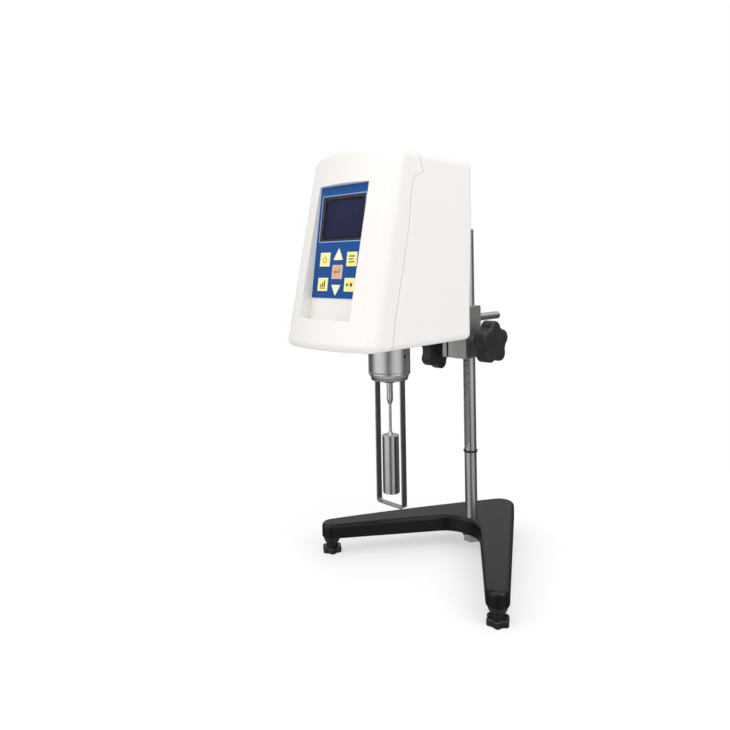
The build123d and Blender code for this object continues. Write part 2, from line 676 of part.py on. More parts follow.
def tri_key(tri):
    with BuildPart() as k:
        with BuildSketch(PANEL.offset(-2.4)):
            with BuildLine():
                Polyline(*tri, close=True)
            make_face()
            fillet(vertices(), 0.5)
        extrude(amount=3.0)
    return k.part


with BuildPart() as key_top_left:
    add(rect_key(*KEYS["key_top_left"]))
key_top_left.part.label = "key_top_left"
export_step(key_top_left.part, "parts/key_top_left.step")

with BuildPart() as key_top_right:
    add(rect_key(*KEYS["key_top_right"]))
key_top_right.part.label = "key_top_right"
export_step(key_top_right.part, "parts/key_top_right.step")

with BuildPart() as key_bottom_left:
    add(rect_key(*KEYS["key_bottom_left"]))
key_bottom_left.part.label = "key_bottom_left"
export_step(key_bottom_left.part, "parts/key_bottom_left.step")

with BuildPart() as key_bottom_right:
    add(rect_key(*KEYS["key_bottom_right"]))
key_bottom_right.part.label = "key_bottom_right"
export_step(key_bottom_right.part, "parts/key_bottom_right.step")

with BuildPart() as key_centre:
    add(rect_key(*KEYS["key_centre"]))
key_centre.part.label = "key_centre"
export_step(key_centre.part, "parts/key_centre.step")

with BuildPart() as key_up:
    add(tri_key(UP_TRI))
key_up.part.label = "key_up"
export_step(key_up.part, "parts/key_up.step")

with BuildPart() as key_down:
    add(tri_key(DOWN_TRI))
key_down.part.label = "key_down"
export_step(key_down.part, "parts/key_down.step")

with BuildPart() as keypad_board:
    with BuildSketch(PANEL.offset(-4.6)):
        with Locations((0, 27.5)):
            Rectangle(66.0, 57.0)
    extrude(amount=1.6)
keypad_board.part.label = "keypad_board"
export_step(keypad_board.part, "parts/keypad_board.step")

with BuildPart() as display_lens:
    with BuildSketch(PANEL.offset(-PANEL_T)):
        with Locations((0, (DISP_V0 + DISP_V1) / 2)):
            RectangleRounded(2 * DISP_U - 0.2, DISP_V1 - DISP_V0 - 0.2, 0.6)
    extrude(amount=PANEL_T - 0.15)
display_lens.part.label = "display_lens"
export_step(display_lens.part, "parts/display_lens.step")

with BuildPart() as lcd_module:
    with BuildSketch(PANEL.offset(-4.6)):
        with Locations((0, 84.6)):
            Rectangle(76.0, 54.6)
    extrude(amount=1.6)
    with BuildSketch(PANEL.offset(-9.0)):
        with Locations((0, 84.6)):
            Rectangle(70.0, 46.0)
    extrude(amount=4.4)
    # black frame around the viewing area, up to the back of the lens
    with BuildSketch(PANEL.offset(-3.0)):
        with Locations((0, (DISP_V0 + DISP_V1) / 2)):
            Rectangle(2 * DISP_U - 5.0, DISP_V1 - DISP_V0 - 5.0)
            RectangleRounded(2 * DISP_U - 9.6, DISP_V1 - DISP_V0 - 9.0, 0.8, mode=Mode.SUBTRACT)
    extrude(amount=1.9)
lcd_module.part.label = "lcd_module"
export_step(lcd_module.part, "parts/lcd_module.step")

# ------------------------------------------------------------ inside the head
PLATE_Z0 = HEAD_Z0 + WALL + 0.1
PLATE_T = 3.0
with BuildPart() as bottom_plate:
    with BuildSketch(Plane.XY.offset(PLATE_Z0)):
        with Locations((SX, SY - 12.0)):
            RectangleRounded(113.0, 148.0, 9.0)
        with Locations((SX, SY)):
            Circle(13.0, mode=Mode.SUBTRACT)
    extrude(amount=PLATE_T)
bottom_plate.part.label = "bottom_plate"
export_step(bottom_plate.part, "parts/bottom_plate.step")

with BuildPart() as bottom_screws:
    for dx in (-44.0, 44.0):
        for dy in (-84.0, 59.5):
            with BuildSketch(Plane.XY.offset(HEAD_Z0 - 1.6)):
                with Locations((SX + dx * 0.8, SY + dy)):
                    Circle(3.0)
            extrude(amount=1.6)
bottom_screws.part.label = "bottom_screws"
export_step(bottom_screws.part, "parts/bottom_screws.step")

CH_Z0 = PLATE_Z0 + PLATE_T
with BuildPart() as chassis:
    with BuildSketch(Plane.XY.offset(CH_Z0)):
        with Locations((SX, SY + 41.5)):
            Rectangle(100.0, 3.0)
    extrude(amount=150.0)
    with BuildSketch(Plane.XY.offset(374.0)):
        with Locations((SX, SY + 8.5)):
            Rectangle(60.0, 66.0)
    extrude(amount=3.0)
    with BuildSketch(Plane.XY.offset(CH_Z0)):
        with Locations((SX, SY + 36.0)):
            Rectangle(100.0, 12.0)
    extrude(amount=3.0)
    # side gussets from the upright to the motor shelf
    for gx in (-28.5, 28.5):
        with BuildSketch(Plane.YZ.offset(SX + gx - 1.5)):
            with BuildLine():
                Polyline((SY + 41, 374.5), (SY + 0, 374.5), (SY + 41, 352), close=True)
            make_face()
        extrude(amount=3.0)
    # bracket for the optical sensors
    with BuildSketch(Plane.XZ.offset(-(SY - 5.0))):
        with Locations((SX + 35.5, 328.0)):
            Rectangle(3.0, 90.0)
    extrude(amount=-46.0)
    # clearance for the motor spigot, bore for the rod
    with BuildSketch(Plane.XY.offset(370)):
        with Locations((SX, SY)):
            Circle(11.2)
    extrude(amount=10, mode=Mode.SUBTRACT)
    with BuildSketch(Plane.XZ.offset(-(SY + 38))):
        with Locations((SX, ROD_Z)):
            Circle(6.0)
    extrude(amount=-8, mode=Mode.SUBTRACT)
chassis.part.label = "chassis"
export_step(chassis.part, "parts/chassis.step")

with BuildPart() as rod_socket:
    with BuildSketch(Plane.XY.offset(CH_Z0)):
        with Locations((SX, SY + 54.0)):
            Rectangle(30.0, 22.0)
    extrude(amount=20.0)
    with BuildSketch(Plane.XZ.offset(-(SY + 47.0))):
        with Locations((SX, ROD_Z)):
            Circle(ROD_R + 0.04)
    extrude(amount=-30, mode=Mode.SUBTRACT)
rod_socket.part.label = "rod_socket"
export_step(rod_socket.part, "parts/rod_socket.step")

with BuildPart() as drive_motor:
    with BuildSketch(Plane.XY.offset(377.0)):
        with Locations((SX, SY)):
            Rectangle(42.3, 42.3)
            chamfer(vertices(), 4.0)
    extrude(amount=34.0)
    with BuildSketch(Plane.XY.offset(375.0)):
        with Locations((SX, SY)):
            Circle(11.0)
    extrude(amount=2.0)
    with BuildSketch(Plane.XY.offset(370.0)):
        with Locations((SX, SY)):
            Circle(3.0)
    extrude(amount=20.0, mode=Mode.SUBTRACT)
drive_motor.part.label = "drive_motor"
export_step(drive_motor.part, "parts/drive_motor.step")

with BuildPart() as motor_screws:
    with BuildSketch(Plane.XY.offset(371.4)):
        with Locations((SX, SY)):
            with GridLocations(31.0, 31.0, 2, 2):
                Circle(2.7)
    extrude(amount=2.6)
motor_screws.part.label = "motor_screws"
export_step(motor_screws.part, "parts/motor_screws.step")

with BuildPart() as motor_shaft:
    with BuildSketch(Plane.XY.offset(342.0)):
        with Locations((SX, SY)):
            Circle(2.5)
    extrude(amount=46.0)
    chamfer(edges().group_by(Axis.Z)[0], 0.4)
motor_shaft.part.label = "motor_shaft"
export_step(motor_shaft.part, "parts/motor_shaft.step")

with BuildPart() as drive_hub:
    with BuildSketch(Plane.XY.offset(343.0)):
        with Locations((SX, SY)):
            Circle(9.0)
            Circle(2.5, mode=Mode.SUBTRACT)
    extrude(amount=11.0)
    # arm that carries the outer end of the spring
    with BuildSketch(Plane.XY.offset(333.0)):
        with Locations((SX + 11.0, SY)):
            Circle(1.2)
    extrude(amount=10.0)
    with BuildSketch(Plane.XY.offset(343.0)):
        with Locations((SX + 9.0, SY)):
            Rectangle(6.4, 4.0)
    extrude(amount=3.0)
    chamfer(edges().group_by(Axis.Z)[-1].filter_by(lambda e: e.length > 50), 0.5)
drive_hub.part.label = "drive_hub"
export_step(drive_hub.part, "parts/drive_hub.step")

with BuildPart() as drive_disc:
    with BuildSketch(Plane.XY.offset(354.0)):
        with Locations((SX, SY)):
            Circle(24.0)
            Circle(2.6, mode=Mode.SUBTRACT)
            with PolarLocations(20.0, 24):
                Rectangle(4.0, 1.4, mode=Mode.SUBTRACT)
    extrude(amount=0.8)
drive_disc.part.label = "drive_disc"
export_step(drive_disc.part, "parts/drive_disc.step")

with BuildPart() as torsion_spring:
    # flat spiral strip, about three turns, from the inner collet to the hub arm
    with BuildSketch(Plane.XY.offset(334.0)):
        with BuildLine():
            turns, r_in, r_out, t = 3.0, 4.2, 9.55, 0.35
            n = 72
            inner, outer = [], []
            for i in range(n + 1):
                s = i / n
                a = 2 * math.pi * turns * (s - 1)
                r = r_in + (r_out - r_in) * s
                inner.append((SX + (r - t / 2) * math.cos(a), SY + (r - t / 2) * math.sin(a)))
                outer.append((SX + (r + t / 2) * math.cos(a), SY + (r + t / 2) * math.sin(a)))
            Spline(*inner)
            Line(inner[-1], outer[-1])
            Spline(*reversed(outer))
            Line(outer[0], inner[0])
        make_face()
    extrude(amount=3.0)
torsion_spring.part.label = "torsion_spring"
export_step(torsion_spring.part, "parts/torsion_spring.step")

with BuildPart() as pivot_shaft:
    with BuildSketch(Plane(origin=(SX, SY, 0), x_dir=(1, 0, 0), z_dir=(0, -1, 0))):
        with BuildLine():
            Polyline((0, 214.4), (3.5, 214.4), (3.5, 229.0), (2.5, 230.0), (2.5, 336.0), (2.0, 338.0), (0, 338.0), (0, 214.4))
        make_face()
    revolve(axis=Axis((SX, SY, 0), (0, 0, 1)))
    with BuildSketch(Plane.XY.offset(200)):
        with Locations((SX, SY)):
            Circle(1.62)
    extrude(amount=25.0, mode=Mode.SUBTRACT)
pivot_shaft.part.label = "pivot_shaft"
export_step(pivot_shaft.part, "parts/pivot_shaft.step")

with BuildPart() as sensing_disc:
    with BuildSketch(Plane.XY.offset(322.0)):
        with Locations((SX, SY)):
            Circle(24.0)
            Circle(2.5, mode=Mode.SUBTRACT)
            with PolarLocations(20.0, 24):
                Rectangle(4.0, 1.4, mode=Mode.SUBTRACT)
    extrude(amount=0.8)
    with BuildSketch(Plane.XY.offset(316.0)):
        with Locations((SX, SY)):
            Circle(6.0)
            Circle(2.5, mode=Mode.SUBTRACT)
    extrude(amount=6.0)
sensing_disc.part.label = "sensing_disc"
export_step(sensing_disc.part, "parts/sensing_disc.step")

with BuildPart() as optical_sensors:
    for z in (354.4, 322.4):
        with BuildSketch(Plane.XZ.offset(-(SY - 5.0))):
            with Locations((SX + 26.0, z)):
                Rectangle(16.0, 12.0)
            with Locations((SX + 21.5, z)):
                Rectangle(9.0, 4.0, mode=Mode.SUBTRACT)
        extrude(amount=-10.0)
optical_sensors.part.label = "optical_sensors"
export_step(optical_sensors.part, "parts/optical_sensors.step")

with BuildPart() as pivot_housing:
    with BuildSketch(Plane(origin=(SX, SY, 0), x_dir=(1, 0, 0), z_dir=(0, -1, 0))):
        with BuildLine():
            Polyline((9.0, CH_Z0), (22.0, CH_Z0), (22.0, CH_Z0 + 3), (12.5, CH_Z0 + 3), (12.5, 306.0), (8.03, 306.0),
                     (8.03, 301.0), (5.0, 301.0), (5.0, 299.0), (9.0, 299.0), (9.0, CH_Z0))
        make_face()
    revolve(axis=Axis((SX, SY, 0), (0, 0, 1)))
pivot_housing.part.label = "pivot_housing"
export_step(pivot_housing.part, "parts/pivot_housing.step")

with BuildPart() as upper_bearing:
    with BuildSketch(Plane.XY.offset(301.05)):
        with Locations((SX, SY)):
            Circle(8.0)
            Circle(2.7, mode=Mode.SUBTRACT)
    extrude(amount=5.0)
upper_bearing.part.label = "upper_bearing"
export_step(upper_bearing.part, "parts/upper_bearing.step")

with BuildPart() as main_board:
    with BuildSketch(Plane.XZ.offset(-(SY + 29.0))):
        with Locations((SX - 8.0, 313.0)):
            Rectangle(80.0, 60.0)
    extrude(amount=-1.6)
    # terminal blocks and capacitors, on the front of the board
    with BuildSketch(Plane.XZ.offset(-(SY + 29.0))):
        with Locations((SX - 36.0, 332.0), (SX - 36.0, 318.0)):
            Rectangle(12.0, 9.0)
    extrude(amount=7.0)
main_board.part.label = "main_board"
export_step(main_board.part, "parts/main_board.step")

with BuildPart() as board_standoffs:
    with BuildSketch(Plane.XZ.offset(-(SY + 30.6))):
        with Locations((SX - 8.0, 313.0)):
            with GridLocations(70.0, 50.0, 2, 2):
                Circle(2.5)
    extrude(amount=-9.4)
board_standoffs.part.label = "board_standoffs"
export_step(board_standoffs.part, "parts/board_standoffs.step")

# ------------------------------------------------------------ rear fittings
with BuildPart() as power_inlet:
    pl = rear_plane(26.0, 330.0)
    with BuildSketch(pl):
        RectangleRounded(33.0, 25.0, 3.0)
    extrude(amount=2.0)
    with BuildSketch(pl.offset(-13.0)):
        Rectangle(27.2, 19.6)
    extrude(amount=13.0)
    # socket well and its three blades
    with BuildSketch(pl.offset(-11.0)):
        with BuildLine():
            Polyline((-12.0, -8.0), (12.0, -8.0), (12.0, 3.5), (7.5, 8.0), (-7.5, 8.0), (-12.0, 3.5), close=True)
        make_face()
    extrude(amount=16.0, mode=Mode.SUBTRACT)
    with BuildSketch(pl.offset(-11.0)):
        with Locations((-7.0, -1.8), (7.0, -1.8)):
            Rectangle(2.0, 4.0)
        with Locations((0.0, 2.0)):
            Rectangle(2.0, 4.0)
    extrude(amount=7.0)
power_inlet.part.label = "power_inlet"
export_step(power_inlet.part, "parts/power_inlet.step")

with BuildPart() as switch_bezel:
    ps = rear_plane(-26.0, 330.0)
    with BuildSketch(ps):
        RectangleRounded(23.0, 17.0, 1.5)
    extrude(amount=1.6)
    with BuildSketch(ps.offset(-14.0)):
        Rectangle(19.0, 12.8)
    extrude(amount=14.0)
    with BuildSketch(ps.offset(-9.0)):
        Rectangle(17.0, 10.8)
    extrude(amount=14.0, mode=Mode.SUBTRACT)
    # blind holes for the rocker's pivot pins
    side = Plane(origin=ps.origin, x_dir=ps.x_dir, z_dir=-ps.y_dir)
    with BuildSketch(side.offset(-6.0)):
        with Locations((0, -1.5)):
            Circle(1.25)
    extrude(amount=12.0, mode=Mode.SUBTRACT)
switch_bezel.part.label = "switch_bezel"
export_step(switch_bezel.part, "parts/switch_bezel.step")

with BuildPart() as power_switch:
    # rocker: a shallow V seen from the end, held on its pivot across the bezel
    with BuildSketch(side.offset(-5.1)):
        with BuildLine():
            Polyline((-7.4, 3.2), (0.0, 1.0), (7.4, 0.9), (6.2, -2.6), (0.0, -5.0), (-6.2, -2.6), close=True)
        make_face()
    extrude(amount=10.2)
    with BuildSketch(side.offset(-5.85)):
        with Locations((0, -1.5)):
            Circle(1.1)
    extrude(amount=11.7)
power_switch.part.label = "power_switch"
export_step(power_switch.part, "parts/power_switch.step")

# ------------------------------------------------------------ collar, guard, spindle
with BuildPart() as collar:
    with BuildSketch(Plane(origin=(SX, SY, 0), x_dir=(1, 0, 0), z_dir=(0, -1, 0))):
        with BuildLine():
            Polyline((4.6, 235.0), (COLLAR_R - 0.5, 235.0), (COLLAR_R, 235.5), (COLLAR_R, PLATE_Z0), (16.0, PLATE_Z0),
                     (16.0, 246.0), (8.03, 246.0), (8.03, 241.0), (4.6, 241.0), (4.6, 235.0))
        make_face()
    revolve(axis=Axis((SX, SY, 0), (0, 0, 1)))
    with BuildSketch(Plane.YZ.offset(SX + 14.0)):
        with Locations((SY, 252.5)):
            Circle(2.0)
    extrude(amount=12.0, mode=Mode.SUBTRACT)
collar.part.label = "collar"
export_step(collar.part, "parts/collar.step")

with BuildPart() as collar_set_screw:
    with BuildSketch(Plane.YZ.offset(SX + 16.2)):
        with Locations((SY, 252.5)):
            Circle(1.97)
    extrude(amount=6.0)
    with BuildSketch(Plane.YZ.offset(SX + 22.2)):
        with Locations((SY, 252.5)):
            RegularPolygon(1.0, 6, major_radius=False)
    extrude(amount=-2.0, mode=Mode.SUBTRACT)
collar_set_screw.part.label = "collar_set_screw"
export_step(collar_set_screw.part, "parts/collar_set_screw.step")

with BuildPart() as lower_bearing:
    with BuildSketch(Plane.XY.offset(241.0)):
        with Locations((SX, SY)):
            Circle(8.0)
            Circle(2.7, mode=Mode.SUBTRACT)
    extrude(amount=4.0)
lower_bearing.part.label = "lower_bearing"
export_step(lower_bearing.part, "parts/lower_bearing.step")

with BuildPart() as guard_ring:
    with BuildSketch(Plane(origin=(SX, SY, 0), x_dir=(1, 0, 0), z_dir=(0, -1, 0))):
        with BuildLine():
            Polyline((7.35, COLLAR_Z0), (COLLAR_R - 3.1, COLLAR_Z0), (COLLAR_R - 2.0, COLLAR_Z0 + 4.2), (COLLAR_R - 0.9, COLLAR_Z0 + 6.2),
                     (COLLAR_R, COLLAR_Z0 + 7.0), (COLLAR_R, 234.1),
                     (COLLAR_R - 0.5, 234.6), (COLLAR_R - 1.2, 235.0), (7.35, 235.0), (7.35, COLLAR_Z0))
        make_face()
    revolve(axis=Axis((SX, SY, 0), (0, 0, 1)))
    with BuildSketch(Plane.XY.offset(COLLAR_Z0 - 1)):
        with Locations((SX - GUARD_X, SY), (SX + GUARD_X, SY)):
            Rectangle(GUARD_T + 0.06, GUARD_W + 0.06)
    extrude(amount=8.0, mode=Mode.SUBTRACT)
guard_ring.part.label = "guard_ring"
export_step(guard_ring.part, "parts/guard_ring.step")

with BuildPart() as guard_bush:
    with BuildSketch(Plane.XY.offset(222.2)):
        with Locations((SX, SY)):
            Circle(7.32)
            Circle(4.4, mode=Mode.SUBTRACT)
    extrude(amount=12.6)
    chamfer(edges().group_by(Axis.Z)[0].filter_by(lambda e: e.length > 40), 0.6)
guard_bush.part.label = "guard_bush"
export_step(guard_bush.part, "parts/guard_bush.step")

with BuildPart() as guard_leg:
    ho = GUARD_X + GUARD_T / 2
    with BuildSketch(Plane.XZ.offset(-(SY - GUARD_W / 2))):
        with Locations((SX, (GUARD_Z0 + 232.0) / 2)):
            Rectangle(2 * ho, 232.0 - GUARD_Z0)
            fillet(vertices().group_by(Axis.Y)[0], 4.0)
        with Locations((SX, (GUARD_Z0 + GUARD_T + 240.0) / 2)):
            Rectangle(2 * (ho - GUARD_T), 240.0 - GUARD_Z0 - GUARD_T, mode=Mode.SUBTRACT)
    extrude(amount=-GUARD_W)
    inner = [e for e in edges().filter_by(Axis.Y) if abs(e.center().Z - GUARD_Z0 - GUARD_T) < 0.01]
    fillet(inner, 2.5)
guard_leg.part.label = "guard_leg"
export_step(guard_leg.part, "parts/guard_leg.step")

with BuildPart() as coupling_nut:
    with BuildSketch(Plane(origin=(SX, SY, 0), x_dir=(1, 0, 0), z_dir=(0, -1, 0))):
        with BuildLine():
            Polyline((SHAFT_R + 0.03, 198.0), (2.2, 198.0), (3.5, 202.2), (3.5, 213.2), (3.0, 213.7), (3.0, 214.4),
                     (SHAFT_R + 0.03, 214.4), (SHAFT_R + 0.03, 198.0))
        make_face()
    revolve(axis=Axis((SX, SY, 0), (0, 0, 1)))
coupling_nut.part.label = "coupling_nut"
export_step(coupling_nut.part, "parts/coupling_nut.step")

with BuildPart() as spindle:
    with BuildSketch(Plane(origin=(SX, SY, 0), x_dir=(1, 0, 0), z_dir=(0, -1, 0))):
        with BuildLine():
            Polyline((0, BOB_Z0), (BOB_R - 0.4, BOB_Z0), (BOB_R, BOB_Z0 + 0.4), (BOB_R, BOB_Z1 - 0.6), (BOB_R - 0.6, BOB_Z1),
                     (3.0, BOB_Z1), (2.0, BOB_Z1 + 3.0), (SHAFT_R, BOB_Z1 + 7.0), (SHAFT_R, 224.0), (0, 224.0), (0, BOB_Z0))
        make_face()
    revolve(axis=Axis((SX, SY, 0), (0, 0, 1)))
spindle.part.label = "spindle"
export_step(spindle.part, "parts/spindle.step")
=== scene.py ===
import bpy, bmesh, math
from mathutils import Vector, Matrix


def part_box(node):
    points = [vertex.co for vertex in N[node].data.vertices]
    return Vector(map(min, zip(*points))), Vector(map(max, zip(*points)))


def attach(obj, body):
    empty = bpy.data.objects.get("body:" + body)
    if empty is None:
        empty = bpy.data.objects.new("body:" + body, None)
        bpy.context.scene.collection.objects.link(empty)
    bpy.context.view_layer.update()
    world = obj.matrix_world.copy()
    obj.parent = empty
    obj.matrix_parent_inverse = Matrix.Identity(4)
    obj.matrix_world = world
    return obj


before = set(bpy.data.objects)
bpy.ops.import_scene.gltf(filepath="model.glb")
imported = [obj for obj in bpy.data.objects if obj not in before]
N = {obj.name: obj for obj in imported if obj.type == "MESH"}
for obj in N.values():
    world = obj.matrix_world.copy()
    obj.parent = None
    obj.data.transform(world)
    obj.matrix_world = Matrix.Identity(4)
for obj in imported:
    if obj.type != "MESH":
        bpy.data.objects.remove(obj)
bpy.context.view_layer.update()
MM = 0.001


# ------------------------------------------------------------------ node helpers
class Mat:
    """A Principled material; constants sit on the shader's own sockets, patterns are linked."""

    def __init__(self, name, color=(0.8, 0.8, 0.8), rough=0.5, metal=0.0, **consts):
        self.m = bpy.data.materials.new(name)
        self.m.use_nodes = True
        self.nt = self.m.node_tree
        self.nt.nodes.clear()
        self.out = self.n("ShaderNodeOutputMaterial")
        self.b = self.n("ShaderNodeBsdfPrincipled")
        self.nt.links.new(self.b.outputs[0], self.out.inputs[0])
        self.b.inputs["Base Color"].default_value = (*color, 1)
        self.b.inputs["Roughness"].default_value = rough
        self.b.inputs["Metallic"].default_value = metal
        for k, v in consts.items():
            self.b.inputs[k.replace("_", " ")].default_value = v
        tc = self.n("ShaderNodeTexCoord")
        self.co = tc.outputs["Object"]
        self.normal = None

    def n(self, kind, **props):
        node = self.nt.nodes.new(kind)
        for k, v in props.items():
            setattr(node, k, v)
        return node

    def link(self, a, b):
        self.nt.links.new(a, b)

    def scaled(self, sx, sy, sz, src=None):
        mp = self.n("ShaderNodeMapping")
        mp.inputs["Scale"].default_value = (sx, sy, sz)
        self.link(src or self.co, mp.inputs["Vector"])
        return mp.outputs[0]

    def noise(self, scale, detail=3.0, rough=0.55, src=None, dist=0.0):
        t = self.n("ShaderNodeTexNoise")
        t.inputs["Scale"].default_value = scale
        t.inputs["Detail"].default_value = detail
        t.inputs["Roughness"].default_value = rough
        t.inputs["Distortion"].default_value = dist
        self.link(src or self.co, t.inputs["Vector"])
        return t.outputs["Fac"]

    def voronoi(self, scale, src=None, feature="F1"):
        t = self.n("ShaderNodeTexVoronoi", feature=feature)
        t.inputs["Scale"].default_value = scale
        self.link(src or self.co, t.inputs["Vector"])
        return t.outputs["Distance"]

    def ramp(self, fac, lo, hi, a, b):
        r = self.n("ShaderNodeMapRange")
        r.inputs["From Min"].default_value = lo
        r.inputs["From Max"].default_value = hi
        r.inputs["To Min"].default_value = a
        r.inputs["To Max"].default_value = b
        self.link(fac, r.inputs["Value"])
        return r.outputs[0]

    def smooth(self, fac, lo, hi, a=0.0, b=1.0):
        r = self.n("ShaderNodeMapRange", interpolation_type="SMOOTHSTEP")
        r.inputs["From Min"].default_value = lo
        r.inputs["From Max"].default_value = hi
        r.inputs["To Min"].default_value = a
        r.inputs["To Max"].default_value = b
        self.link(fac, r.inputs["Value"])
        return r.outputs[0]

    def math(self, op, a, b=None):
        m = self.n("ShaderNodeMath", operation=op)
        for i, v in enumerate((a, b)):
            if v is None:
                continue
            if isinstance(v, (int, float)):
                m.inputs[i].default_value = v
            else:
                self.link(v, m.inputs[i])
        return m.outputs[0]

    def mix(self, fac, a, b):
        m = self.n("ShaderNodeMix", data_type="RGBA")
        for sock, v in ((m.inputs[0], fac), (m.inputs[6], a), (m.inputs[7], b)):
            if isinstance(v, tuple):
                sock.default_value = (*v, 1)
            elif isinstance(v, (int, float)):
                sock.default_value = v
            else:
                self.link(v, sock)
        return m.outputs[2]

    def xyz(self, src=None):
        s = self.n("ShaderNodeSeparateXYZ")
        self.link(src or self.co, s.inputs[0])
        return s.outputs

    def edge(self, radius, samples=4):
        b = self.n("ShaderNodeBevel")
        b.samples = samples
        b.inputs["Radius"].default_value = radius
        self.normal = b.outputs[0]

    def bump(self, height, distance, strength=1.0):
        b = self.n("ShaderNodeBump")
        b.inputs["Distance"].default_value = distance
        b.inputs["Strength"].default_value = strength
        self.link(height, b.inputs["Height"])
        if self.normal is not None:
            self.link(self.normal, b.inputs["Normal"])
        self.normal = b.outputs[0]

    def color(self, sock):
        self.link(sock, self.b.inputs["Base Color"])

    def rough(self, sock):
        self.link(sock, self.b.inputs["Roughness"])

    def done(self):
        if self.normal is not None:
            self.link(self.normal, self.b.inputs["Normal"])
        return self.m


def around(mat, cx, cy):
    """distance from a vertical axis, in metres"""
    x, y, _ = mat.xyz()
    dx = mat.math("SUBTRACT", x, cx)
    dy = mat.math("SUBTRACT", y, cy)
    return mat.math("SQRT", mat.math("ADD", mat.math("MULTIPLY", dx, dx), mat.math("MULTIPLY", dy, dy)))


SX, SY = -17.0 * MM, -57.0 * MM


# ------------------------------------------------------------------ materials
def shell_white():
    m = Mat("shell_white_abs", (0.80, 0.785, 0.76), 0.42, Specular_IOR_Level=0.42)
    flow = m.noise(9.0, 4.0, 0.5)
    m.color(m.mix(m.ramp(flow, 0.3, 0.7, 0.0, 1.0), (0.826, 0.805, 0.779), (0.808, 0.788, 0.763)))
    fine = m.noise(2300.0, 2.0, 0.6)
    m.rough(m.math("ADD", m.ramp(m.noise(60.0, 3.0), 0.3, 0.7, 0.36, 0.43), m.ramp(fine, 0.3, 0.7, -0.02, 0.04)))
    m.edge(0.0009)
    m.bump(fine, 0.000022, 0.55)
    m.bump(m.noise(380.0, 2.0), 0.00002, 0.4)
    return m.done()


def base_black():
    m = Mat("base_black_enamel", (0.009, 0.0095, 0.0105), 0.4, Specular_IOR_Level=0.09, Coat_Weight=0.36, Coat_Roughness=0.05)
    grain = m.noise(900.0, 3.0, 0.6)
    peel = m.noise(260.0, 2.0, 0.5)
    haze = m.noise(14.0, 5.0, 0.6)
    z = m.xyz()[2]
    # painted light: the top face and upper edges are painted lighter than the darker sides, with blotchy variation
    lit_top_blotches = m.math("MULTIPLY", m.smooth(z, 0.034, 0.0392), m.ramp(haze, 0.35, 0.7, 0.15, 0.6))
    m.color(m.mix(lit_top_blotches, (0.0045, 0.0056, 0.0075), (0.0105, 0.0118, 0.0132)))
    m.rough(m.math("ADD", m.ramp(haze, 0.3, 0.7, 0.34, 0.44), m.ramp(grain, 0.3, 0.7, -0.03, 0.05)))
    m.edge(0.0006)
    m.bump(peel, 0.00006, 0.5)
    m.bump(grain, 0.00003, 0.5)
    return m.done()


def post_steel():
    m = Mat("post_ground_bar", (0.60, 0.595, 0.58), 0.26, 1.0)
    lines = m.noise(1.0, 3.0, 0.6, m.scaled(900.0, 900.0, 18.0))
    rings = m.noise(1.0, 2.0, 0.6, m.scaled(30.0, 30.0, 2400.0))
    spots = m.noise(420.0, 3.0, 0.7)
    cloud = m.noise(1.0, 4.0, 0.6, m.scaled(60.0, 60.0, 14.0))
    c = m.mix(m.ramp(cloud, 0.3, 0.7, 0.0, 1.0), (0.60, 0.592, 0.575), (0.50, 0.494, 0.482))
    m.color(m.mix(m.smooth(spots, 0.62, 0.72, 0.0, 0.35), c, (0.30, 0.28, 0.25)))
    m.rough(m.math("ADD", m.ramp(lines, 0.3, 0.7, 0.2, 0.32), m.ramp(rings, 0.3, 0.7, -0.03, 0.05)))
    m.edge(0.0003)
    m.bump(rings, 0.000012, 0.5)
    m.bump(lines, 0.000008, 0.5)
    return m.done()


def polished_steel():
    m = Mat("turned_stainless", (0.66, 0.655, 0.64), 0.2, 1.0)
    rings = m.noise(1.0, 3.0, 0.7, m.scaled(12.0, 12.0, 5200.0))
    broad = m.noise(1.0, 2.0, 0.6, m.scaled(12.0, 12.0, 700.0))
    wear = m.noise(120.0, 4.0, 0.6)
    m.color(m.mix(m.ramp(wear, 0.3, 0.75, 0.0, 1.0), (0.67, 0.664, 0.65), (0.58, 0.572, 0.556)))
    m.rough(m.math("ADD", m.ramp(rings, 0.3, 0.7, 0.14, 0.25), m.ramp(wear, 0.4, 0.8, 0.0, 0.06)))
    m.edge(0.00025)
    m.bump(rings, 0.000014, 0.55)
    m.bump(broad, 0.00002, 0.35)
    return m.done()


def guard_steel():
    m = Mat("guard_strip_steel", (0.46, 0.455, 0.445), 0.27, 1.0)
    lines = m.noise(1.0, 3.0, 0.6, m.scaled(1600.0, 1600.0, 30.0))
    wear = m.noise(90.0, 4.0, 0.6)
    m.color(m.mix(m.ramp(wear, 0.3, 0.7, 0.0, 1.0), (0.47, 0.462, 0.45), (0.36, 0.353, 0.345)))
    m.rough(m.ramp(lines, 0.3, 0.7, 0.2, 0.36))
    m.edge(0.00025)
    m.bump(lines, 0.00001, 0.5)
    return m.done()


def turned_aluminium():
    m = Mat("turned_aluminium", (0.70, 0.705, 0.715), 0.3, 1.0)
    rings = m.noise(1.0, 3.0, 0.65, m.scaled(10.0, 10.0, 4200.0))
    broad = m.noise(1.0, 2.0, 0.6, m.scaled(10.0, 10.0, 500.0))
    tint = m.noise(35.0, 3.0)
    m.color(m.mix(m.ramp(tint, 0.3, 0.7, 0.0, 1.0), (0.72, 0.722, 0.728), (0.655, 0.66, 0.67)))
    m.rough(m.math("ADD", m.ramp(rings, 0.3, 0.7, 0.25, 0.37), m.ramp(broad, 0.3, 0.7, -0.02, 0.03)))
    m.edge(0.0003)
    m.bump(rings, 0.00002, 0.6)
    m.bump(broad, 0.00002, 0.3)
    return m.done()


